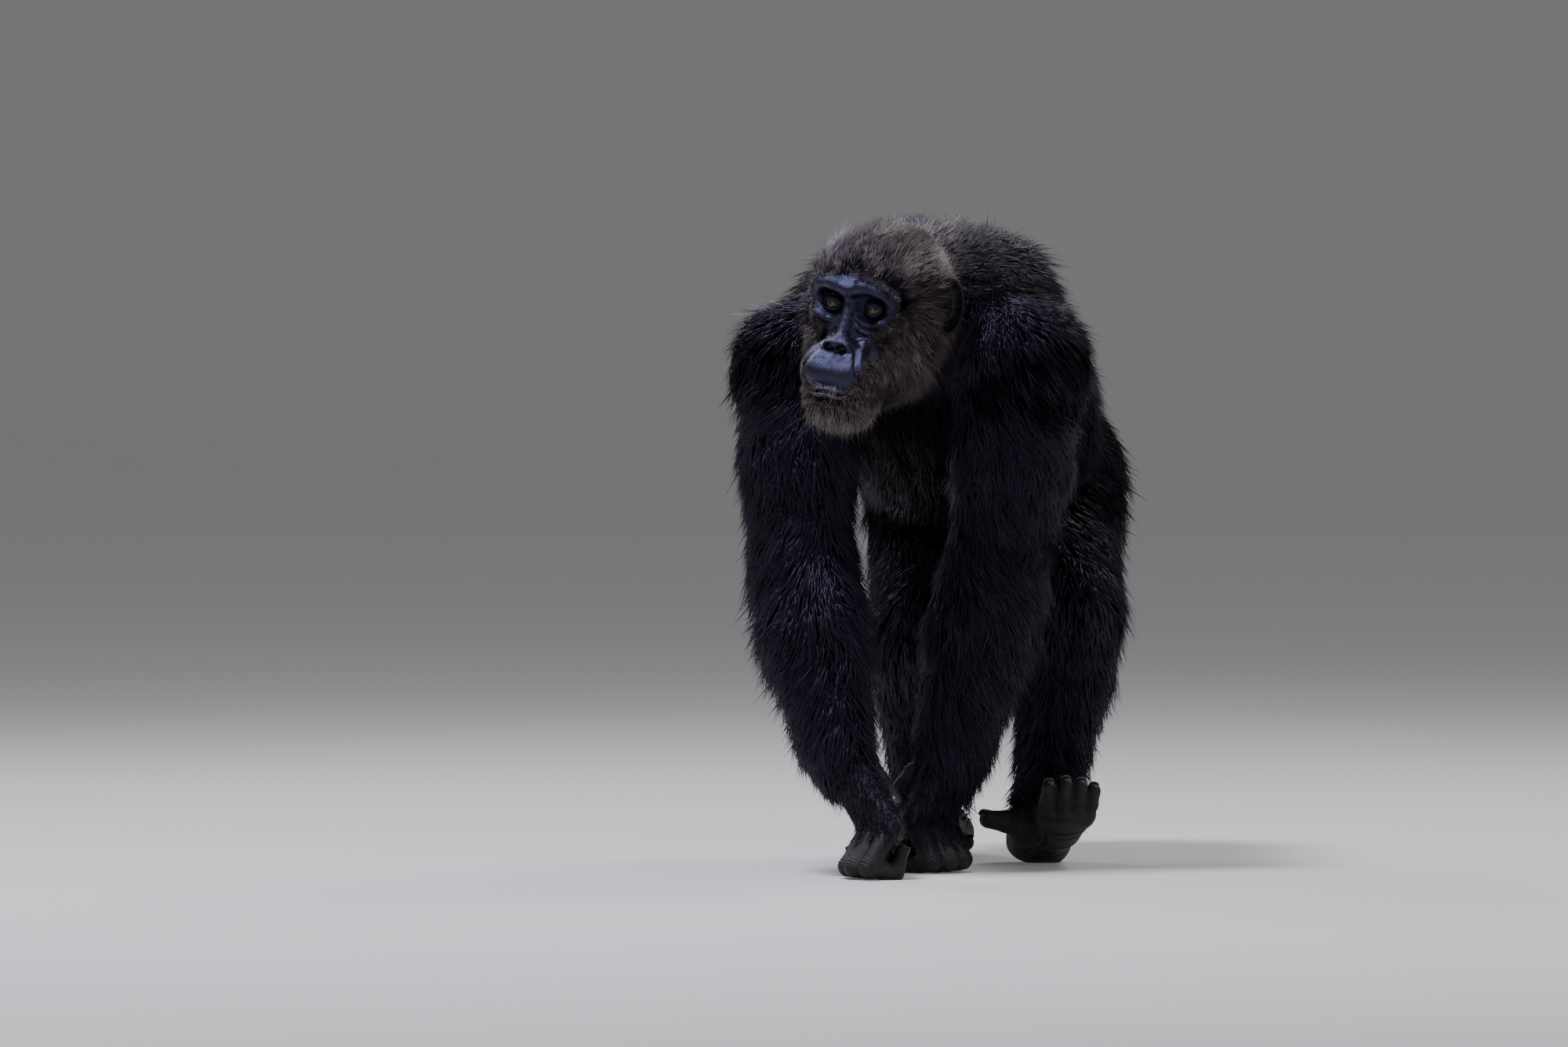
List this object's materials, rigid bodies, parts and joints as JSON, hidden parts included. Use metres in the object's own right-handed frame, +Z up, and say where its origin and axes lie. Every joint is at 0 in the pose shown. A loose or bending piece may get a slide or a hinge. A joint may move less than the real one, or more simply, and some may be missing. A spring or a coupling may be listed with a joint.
{
  "type": "chimpanzee",
  "caption": "Life-size still model of an adult male chimpanzee walking on its knuckles, head turned a little to its right.",
  "frame": {"origin": "on the floor, under the middle of the animal's box", "axes": "+Z up, the animal faces -Y, its left side is +X"},
  "size_m": [0.4513, 0.8065, 0.8185],
  "materials": {
    "coat": "matte",
    "face_skin": "satin",
    "hand_skin": "satin",
    "eye": "gloss"
  },
  "bodies": {
    "root": {"torso": "coat", "neck": "coat", "head": "face_skin", "ear_left": "face_skin", "ear_right": "face_skin", "eye_left": "eye", "eye_right": "eye", "upper_arm_left": "coat", "upper_arm_right": "coat", "forearm_left": "coat", "forearm_right": "coat", "hand_left": "hand_skin", "hand_right": "hand_skin", "thigh_left": "coat", "thigh_right": "coat", "lower_leg_left": "coat", "lower_leg_right": "coat", "foot_left": "hand_skin", "foot_right": "hand_skin"}
  },
  "joints": []
}
